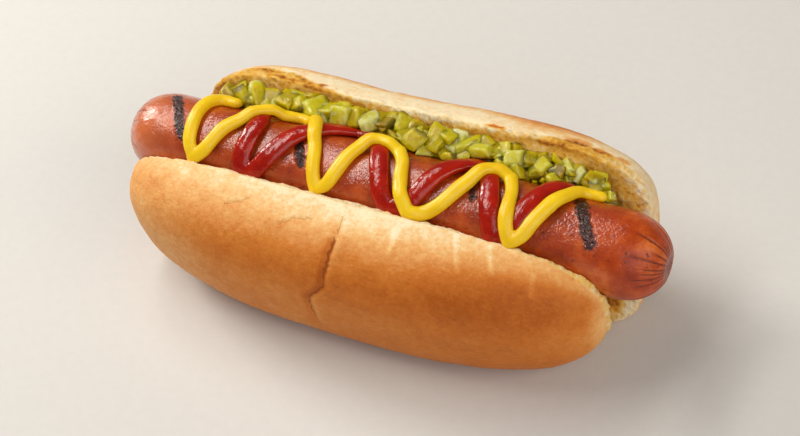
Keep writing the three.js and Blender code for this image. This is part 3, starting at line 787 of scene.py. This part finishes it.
def make_bun():
    """The halves and the web melted into one, pressed by the sausage and by the table. The crust
    gets low lumps, wrinkles and the tear; the cut faces get pores and the cut edges crumble."""
    shells = [bread_half(FRONT_HALF), bread_half(BACK_HALF), bread_web()]
    points, quads = melted(shells, voxel=0.7, rounds=2)
    points = clear_of_sausage(points, 0.1)
    normals = vertex_normals(points, quads)
    is_front = points[:, 1] < HINGE.y
    shift = np.zeros(len(points))
    marks = {name: np.zeros(len(points)) for name in ("crumb", "bake", "toast", "juice", "split")}
    marks["split_width"] = np.full(len(points), -1.0)
    for half, chosen in ((FRONT_HALF, is_front), (BACK_HALF, ~is_front)):
        some, normal = points[chosen], normals[chosen]
        x, up, out = from_half(half, some)
        z = some[:, 2]
        angle = crust_angle(half, x, up, out)
        # Crumb shows on the cut face, on the torn edge round it and in the floor between the halves.
        inward = -(half.side * normal[:, 1] * cos(half.lean) - normal[:, 2] * sin(half.lean))
        torn = 0.4 + 0.7 * lumps(some, 2.4, 35)
        if half is FRONT_HALF:
            torn += 2.2 * eased(42, 66, x)
        else:
            torn += 6 * eased(-24, -46, x) + 4 * bump(x - 54, 15)
        cut = eased(0.3, 0.7, inward) * eased(3.0, 1.2, out)
        torn_edge = eased(torn + 0.6, torn - 0.6, out) * eased(10, 16, z)
        between = eased(0.2, -0.6, out) * eased(0.8, 2.5, z)
        crumb = np.clip(np.maximum.reduce([cut, torn_edge, between]), 0, 1)
        # Low lumps and fine wrinkles of the crust, pores of the crumb, and the ragged edge.
        crust_lumps = 0.38 * lumps(some, 21, 21) + 0.16 * lumps(some, 7, 22)
        crust_lumps += 0.07 * lumps(some * (1, 0.35, 0.35), 2.2, 23) + 0.05 * lumps(some, 1.8, 24)
        pores = eased(0.15, 0.6, lumps(some, 2.3, 25)) + 0.6 * eased(0.2, 0.6, lumps(some, 1.5, 26))
        crumb_lumps = 0.3 * lumps(some, 4.5, 27) + 0.18 * lumps(some, 1.6, 28) - 0.45 * pores
        rough_end = 1 + 0.8 * eased(40, 60, x) * (half is FRONT_HALF)
        ragged = (0.4 * lumps(some, 3.2, 29) + 0.45 * lumps(some, 1.7, 30)) * rough_end
        edge = bump(out - 0.8, 1.6) * eased(10, 16, z)
        relief = crust_lumps * (1 - crumb) + crumb_lumps * crumb * (1 - edge) + ragged * edge
        if half is FRONT_HALF:
            tear_relief, found = front_crust(x, angle)
            relief += tear_relief
        else:
            found = back_toast(some, x, up, out, angle, crumb)
        # Painted shade: the crumb low down between the halves is painted a little darker, for the shade in
        # the slit.
        low_crumb = eased(30, 18, z) * between * eased(69, 65, x)
        found["toast"] = np.clip(found["toast"] + 0.1 * low_crumb, 0, 1)
        for name, values in {"crumb": crumb, **found}.items():
            marks[name][chosen] = values
        shift[chosen] = relief
    points = clear_of_sausage(points + normals * shift[:, None], 0.05)
    points[:, 2] = np.maximum(points[:, 2], 0)
    return points, quads.tolist(), marks


# ---- Sauces ----

# A line's width and height wander over lumps of this size, its foot is flatter and wider than an
# ellipse, and its round ends stop a little short of a point.
LINE = Sizes(wander=9, width_change=0.12, height_change=0.08, foot_power=0.6, foot_depth=1.08, end=0.97)
POOL_END = 0.96
# Flat drops where the ketchup turns: x, degrees, half length, half width and height.
KETCHUP_POOLS = [(-38.6, 62, 3.6, 3.2, 1.9), (7.6, 58, 4, 3.2, 1.9)]


def sauce_leg(sauce, leg, crossed, seed, sides=28, spacing=0.6, end_rings=8):
    """One leg of a squeezed line. The middle line is a smooth curve on the unrolled skin; the
    section is half an ellipse over a flatter foot; its width wanders, and both ends are round."""
    radius = (SAUSAGE.left_radius + SAUSAGE.right_radius) / 2
    flat = smooth_route(laid_flat(leg, radius), spacing)
    x, angle = flat[:, 0], flat[:, 1] / radius
    wander = lumps(np.column_stack([flat, np.full(len(flat), seed)]), LINE.wander, seed)
    half_width = sauce.width / 2 * (1 + LINE.width_change * wander)
    half_height = sauce.height / 2 * (1 + LINE.height_change * wander)
    lift = half_height
    if len(crossed):
        low = beside_sausage(x, angle, lift)
        nearest = np.linalg.norm(low[:, None] - crossed, axis=-1).min(1)
        lift = lift + CLIMB.height * (1 - eased(CLIMB.flat_top, CLIMB.reach, nearest))
    middle = beside_sausage(x, angle, lift)
    along = unit(np.gradient(middle, axis=0))
    cap = np.linspace(np.pi / 2 * LINE.end, 0, end_rings + 1)[:-1]
    order = np.pad(np.arange(len(middle)), end_rings, "edge")
    turn = np.concatenate([-cap, np.zeros(len(middle)), cap[::-1]])
    middle, along, angle = middle[order], along[order], angle[order]
    half_width, half_height = half_width[order], half_height[order]
    middle = middle + along * (half_width * np.sin(turn))[:, None]
    across = unit(np.cross(sausage_outward(angle), along))
    rise = np.cross(along, across)
    phi = full_turn(sides)
    foot = signed_power(np.sin(phi), LINE.foot_power) * LINE.foot_depth
    wide = (half_width * np.cos(turn))[:, None] * np.cos(phi)
    tall = (half_height * np.cos(turn))[:, None] * np.where(np.sin(phi) < 0, foot, np.sin(phi))
    rings = middle[:, None] + wide[..., None] * across[:, None] + tall[..., None] * rise[:, None]
    return capped_tube(rings), middle


def pool(x, degrees, along, around, height, rows=14, sides=28):
    """A flat drop of sauce on the skin: an ellipse in plan, a quarter circle up its edge."""
    turn = np.linspace(-np.pi / 2 * POOL_END, np.pi / 2 * POOL_END, rows)[:, None]
    phi = full_turn(sides)
    px = x + along * np.sin(turn) + 0 * phi
    angle = radians(degrees) + around / SAUSAGE.right_radius * np.cos(turn) * np.cos(phi)
    lift = height * np.cos(turn) * np.where(np.sin(phi) > 0, np.sin(phi), 0.1 * np.sin(phi))
    return capped_tube(beside_sausage(px, angle, lift)[:, ::-1])


def make_sauce(sauce, legs, crossed, seed, pools=()):
    """All legs of a line melted together, so that they run into each other where it turns: its
    points and faces, and the middles of its legs."""
    made = [sauce_leg(sauce, leg, crossed, seed + i) for i, leg in enumerate(legs)]
    shells = [shell for shell, _ in made] + [pool(*drop) for drop in pools]
    points, quads = melted(shells, voxel=0.27, rounds=5)
    shift = 0.09 * lumps(points, 5, seed) + 0.04 * lumps(points, 2, seed + 1)
    points = points + vertex_normals(points, quads) * shift[:, None]
    return (points, quads.tolist()), np.concatenate([middle for _, middle in made])


# ---- Relish ----

CORE = Sizes(under=1.6, tint=0.05, rind=0.15, rind_change=0.2)
DICE = Sizes(
    seed=5, count=118, half=((1.9, 4.2), (1.8, 3.3), (1.1, 2.0)), bottom=80, sunk=(0, 2.6), rounds=70,
    cells=5, overlap=0.74,
)
BITS = Sizes(
    seed=6, count=150, half=((0.8, 1.8), (0.6, 1.2), (0.3, 0.7)), bottom=88, sunk=(-0.9, 0.4), rounds=12,
    cells=2, overlap=0.6,
)
# How uneven a die is: its taper and skew, how far it tips, and how often one side is rind.
UNEVEN = Sizes(taper=0.25, skew=0.25, tip=0.38, rind=0.3)
CROWDED = 1.25  # above 1 the dice crowd towards the right end
SMALLER = Sizes(end=62, share=0.34)  # and they get smaller towards it
FORWARD_LIMIT = 6.4  # the least y of a die
SAUCE_REACH = 2.3  # from the middle of a sauce to its side
OVER_SAUCE = np.array([0.3, -0.6, 0.74])  # the way out over the sauces


def relish_middle(x):
    """The height of the heap's middle up the back cut face: it drops at both ends."""
    reach = (2 * x - RELISH.left - RELISH.right) / (RELISH.right - RELISH.left)
    return RELISH.face_height - RELISH.end_drop * reach ** 6


def in_relish(x, radius, turn):
    """A point of the heap: its turn runs from the top of the heap towards the sausage."""
    up = relish_middle(x) + radius * np.cos(turn)
    return in_half(BACK_HALF, x, up, -radius * np.sin(turn))


def pressed(points, gap=0.05):
    """Points kept out of the bread behind the heap and out of the sausage before it."""
    x, up, out = from_half(BACK_HALF, points)
    return clear_of_sausage(in_half(BACK_HALF, x, up, np.minimum(out, -gap)), gap)


def relish_core(bands=220, sides=60):
    """The wet mass under the dice: a lumpy roll, pressed against the bread and the sausage."""
    u = end_to_end(bands, short=1e-4)[:, None]
    x = (RELISH.left + RELISH.right + u * (RELISH.right - RELISH.left)) / 2
    turn = full_turn(sides)
    ends = squircle(u, RELISH.end_power)
    points = in_relish(x, (RELISH.radius - CORE.under) * ends, turn)
    outward = unit(points - in_relish(x, 0, turn))
    heave = 0.9 * lumps(points, 4.5, 41) + 0.5 * lumps(points, 2, 42)
    shell, faces = capped_tube(points + outward * (heave * ends)[..., None])
    shell = pressed(shell)
    return shell, faces, {
        "tint": np.full(len(shell), CORE.tint), "edge": np.zeros(len(shell)),
        "rind": CORE.rind + CORE.rind_change * lumps(shell, 4, 45),
    }


def rounded_cube(cells, power=9):
    """A cube of half size 1 with rounded corners: directions to a grid of points on each side,
    each as long as the superellipsoid |x|^p + |y|^p + |z|^p = 1 is far."""
    line = np.tan(np.linspace(-1, 1, cells + 1) * np.pi / 4)
    a, b = (grid.ravel() for grid in np.meshgrid(line, line, indexing="ij"))
    side = np.stack([a, b, np.ones_like(a)], axis=-1)
    index = np.arange((cells + 1) ** 2).reshape(cells + 1, cells + 1)
    quads = np.stack([index[:-1, :-1], index[1:, :-1], index[1:, 1:], index[:-1, 1:]], axis=-1).reshape(-1, 4)
    sides, faces = [], []
    for axis in range(3):
        for sign in (1, -1):
            order = quads if sign > 0 else quads[:, ::-1]
            sides.append(np.roll(side * (1, 1, sign), axis, axis=1))
            faces.append(order + len(faces) * len(side))
    points, where = np.unique(np.round(np.concatenate(sides), 6), axis=0, return_inverse=True)
    points /= (np.abs(points) ** power).sum(1, keepdims=True) ** (1 / power)
    return points, where.ravel()[np.concatenate(faces)]


def beside_sauces(places, sauces):
    """The ways from the sauces' middles to places, without what lies over a sauce."""
    away = places[:, None] - sauces
    return away - np.maximum(away @ OVER_SAUCE, 0)[..., None] * OVER_SAUCE


def scattered(kind, sauces, rng):
    """Places and half sizes of dice on the heap. They start at random on its surface and push
    each other, the bread, the sausage and the sauces away until they hardly overlap. A die that
    lies over a sauce is pushed off it sideways, because the sauces were squeezed on last."""
    low, high = np.array(kind.half).T
    size = rng.uniform(low, high, (kind.count, 3))
    share = 1 - (1 - np.linspace(0, 1, kind.count)) ** CROWDED
    x = RELISH.left + high[0] + (RELISH.right - RELISH.left - 2 * high[0]) * share
    x += rng.uniform(-2, 2, kind.count)
    size *= (1 - SMALLER.share * eased(0, SMALLER.end, x))[:, None]
    reach = size[:, :2].mean(1)
    turn = np.radians(kind.bottom * rng.permutation(kind.count) / kind.count)
    places = in_relish(x, RELISH.radius - rng.uniform(*kind.sunk, kind.count), turn)
    home = places
    row = np.arange(kind.count)
    for _ in range(kind.rounds):
        apart = places[:, None] - places
        far = np.linalg.norm(apart, axis=-1) + np.eye(kind.count) * 1e3
        push = np.maximum(kind.overlap * (reach[:, None] + reach) - far, 0) / far
        places = places + 0.25 * (apart * push[..., None]).sum(1) + 0.03 * (home - places)
        away = beside_sauces(places, sauces)
        gap = np.linalg.norm(away, axis=-1)
        nearest = gap.argmin(1)
        short = np.maximum(reach * 0.75 + SAUCE_REACH - gap[row, nearest], 0) / gap[row, nearest]
        places = places + 0.6 * away[row, nearest] * short[:, None]
        places[:, 1] = np.maximum(places[:, 1], FORWARD_LIMIT + 0.5 * reach)
        px, up, out = from_half(BACK_HALF, places)
        px = np.clip(px, RELISH.left + reach, RELISH.right - reach)
        up = np.minimum(up, relish_middle(px) + RELISH.radius - 0.4 * reach)
        places = in_half(BACK_HALF, px, up, np.minimum(out, -0.5 * reach))
        places = clear_of_sausage(places, 0.5 * reach)
    gap = np.linalg.norm(beside_sauces(places, sauces), axis=-1).min(1)
    clear = gap > 0.5 * reach + SAUCE_REACH - 0.3
    return places[clear], size[clear]


def make_dice(kind, sauces):
    """The dice as one mesh: rounded cubes, each stretched, tapered to a wedge and dented. Their
    thin way points out of the heap, give or take. One side of some is rind, each has its own
    tint, and edge says how near a point is to an edge of its die."""
    rng = np.random.default_rng(kind.seed)
    places, size = scattered(kind, sauces, rng)
    cube, quads = rounded_cube(kind.cells)
    count = len(places)
    shape = cube[None] * size[:, None]
    taper = rng.uniform(-UNEVEN.taper, UNEVEN.taper, (count, 1, 2))
    shape[..., :2] *= 1 + taper * cube[None, :, 2:]
    shape[..., 1] += UNEVEN.skew * rng.uniform(-1, 1, (count, 1)) * shape[..., 0]
    out = unit(places - in_relish(places[:, 0], 0, 0))
    out = unit(out + UNEVEN.tip * rng.normal(size=(count, 3)))
    first = unit(np.cross(out, rng.normal(size=(count, 3))))
    shape = shape @ np.stack([first, np.cross(out, first), out], axis=1)
    rind = eased(0.75, 0.95, cube[:, 0])[None] * (rng.random((count, 1)) < UNEVEN.rind)
    tint = np.repeat(rng.beta(2, 3, count), len(cube))
    edge = np.tile(eased(0.35, 0.95, np.sort(np.abs(cube), axis=1)[:, 1]), count)
    middle = np.repeat(places, len(cube), axis=0)
    points = middle + shape.reshape(-1, 3)
    dent = lumps(points, 2.4, 43) * 0.12 + lumps(points, 1.0, 44) * 0.05
    points = pressed(points + (points - middle) * dent[:, None])
    faces = (quads[None] + len(cube) * np.arange(count)[:, None, None]).reshape(-1, 4)
    return points, faces.tolist(), {"tint": tint, "rind": rind.ravel(), "edge": edge}


# ---- Pieces ----

piece("split_bun", "bread", ["bun"], baked_bread(), *make_bun())
piece("grilled_sausage", "sausage_skin", ["sausage"], grilled_skin(), *sausage_surface())

ketchup, ketchup_middle = make_sauce(KETCHUP, KETCHUP_LEGS, (), 51, KETCHUP_POOLS)
mustard, mustard_middle = make_sauce(MUSTARD, MUSTARD_LEGS, ketchup_middle, 61)
piece("ketchup_line", "ketchup", ["ketchup"], squeezed_ketchup(), *ketchup)
piece("mustard_line", "mustard", ["mustard"], squeezed_mustard(), *mustard)

pickle = pickled_cucumber()
piece("relish_core", "pickle", ["relish"], pickle, *relish_core())
for name, kind in (("pickle_dice", DICE), ("pickle_bits", BITS)):
    dice = make_dice(kind, np.concatenate([ketchup_middle, mustard_middle]))
    piece(name, "pickle", ["relish"], pickle, *dice)


# ---- Stage, camera and lights, in metres ----

FLOOR = Sizes(half=2.0, under=0.0002)
floor_mesh = bpy.data.meshes.new("floor")
corners = [(FLOOR.half * x, FLOOR.half * y, -FLOOR.under) for x, y in ((-1, -1), (1, -1), (1, 1), (-1, 1))]
floor_mesh.from_pydata(corners, [], [(0, 1, 2, 3)])
floor_mesh.materials.append(matt_board())
floor = placed("floor", floor_mesh)

# The camera looks from the azimuth and elevation at a target in millimetres, turned by the roll.
VIEW = Sizes(
    azimuth=radians(31.1), elevation=radians(46.1), roll=radians(-8.37), distance=500,
    target=(2.8, -1.5, 29.4), lens=78.4, film_width=36, shift=(0.001, -0.0016), nearest=0.01,
)
camera = placed("camera", bpy.data.cameras.new("camera"))
camera.data.lens = VIEW.lens
camera.data.sensor_width = VIEW.film_width
camera.data.shift_x, camera.data.shift_y = VIEW.shift
camera.data.clip_start = VIEW.nearest
turned = (
    Matrix.Rotation(VIEW.azimuth, 4, "Z") @ Matrix.Rotation(pi / 2 - VIEW.elevation, 4, "X")
    @ Matrix.Rotation(VIEW.roll, 4, "Z")
)
step_back = Matrix.Translation((0, 0, VIEW.distance * MM))
camera.matrix_world = Matrix.Translation(Vector(VIEW.target) * MM) @ turned @ step_back
bpy.context.scene.camera = camera


def soft_light(name, place, size, power, colour="#ffffff"):
    """A light panel of a width and a height that faces the middle of the hot dog."""
    lamp = bpy.data.lights.new(name, "AREA")
    lamp.shape = "RECTANGLE"
    lamp.size, lamp.size_y = size
    lamp.energy = power
    lamp.color = linear(colour)[:3]
    light = placed(name, lamp)
    light.location = place
    light.rotation_euler = (Vector(place) - Vector((0, 0, 0.03))).to_track_quat("Z", "Y").to_euler()


soft_light("key", (-0.36, 0.03, 0.74), (0.85, 0.15), 4.5, "#fffaf2")
soft_light("side", (-0.7, 0.15, 0.4), (0.24, 0.16), 3.0, "#fff8f0")
soft_light("fill", (0.9, -0.9, 0.9), (1.5, 1.5), 11)
soft_light("end", (0.95, -0.05, 0.6), (0.5, 0.5), 2.6, "#ffeed8")
world = bpy.data.worlds.new("studio")
world.use_nodes = True
backdrop = world.node_tree.nodes["Background"].inputs
backdrop["Color"].default_value = linear("#f2f2f2")
backdrop["Strength"].default_value = 0.14
bpy.context.scene.world = world
bpy.context.scene.view_settings.view_transform = "Standard"

bpy.context.view_layer.update()
